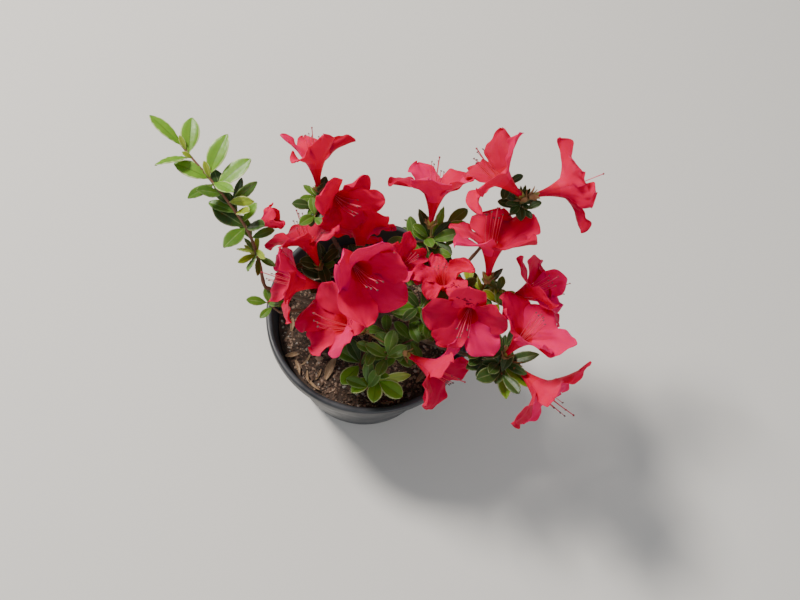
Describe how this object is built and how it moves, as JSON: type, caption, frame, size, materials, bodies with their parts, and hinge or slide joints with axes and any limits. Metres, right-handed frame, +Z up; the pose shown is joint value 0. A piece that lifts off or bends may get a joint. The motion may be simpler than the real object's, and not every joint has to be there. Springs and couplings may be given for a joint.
{
  "type": "potted azalea shrub",
  "caption": "Young azalea shrub in bloom in a round nursery pot, with a short trunk, thin spreading boughs, leaf whorls and open funnel-shaped coral red blossoms.",
  "frame": {"origin": "centre of the flat underside of the pot, which stands on the ground", "axes": "+Z up along the pot's axis; +X towards the flowering branches that reach furthest right, so the bare-tipped leafy shoot reaches out along -X; +Y away from the side that is seen first"},
  "size_m": [0.3521, 0.2058, 0.2841],
  "materials": {
    "pot_plastic": "moulded, satin",
    "potting_mix": "loose damp bark mix",
    "bark": "rough",
    "leaves": "satin, finely hairy",
    "blossom": "satin petal"
  },
  "bodies": {
    "root": {"pot": "pot_plastic", "potting_mix": "potting_mix", "trunk": "bark", "bough_left": "bark", "bough_left_low": "bark", "bough_upper_left": "bark", "bough_left_inner": "bark", "bough_centre": "bark", "bough_top": "bark", "bough_right": "bark", "bough_upper_right": "bark", "bough_mid_right": "bark", "bough_lower_right": "bark", "bough_front": "bark", "bough_front_low": "bark", "foliage_left_shoot": "leaves", "foliage_left_low": "leaves", "foliage_upper_left": "blossom", "foliage_left_inner": "blossom", "foliage_centre": "blossom", "foliage_front": "blossom", "foliage_top": "blossom", "foliage_upper_right": "blossom", "foliage_right": "blossom", "foliage_mid_right": "blossom", "foliage_lower_right": "blossom", "foliage_front_low": "leaves"}
  },
  "joints": []
}
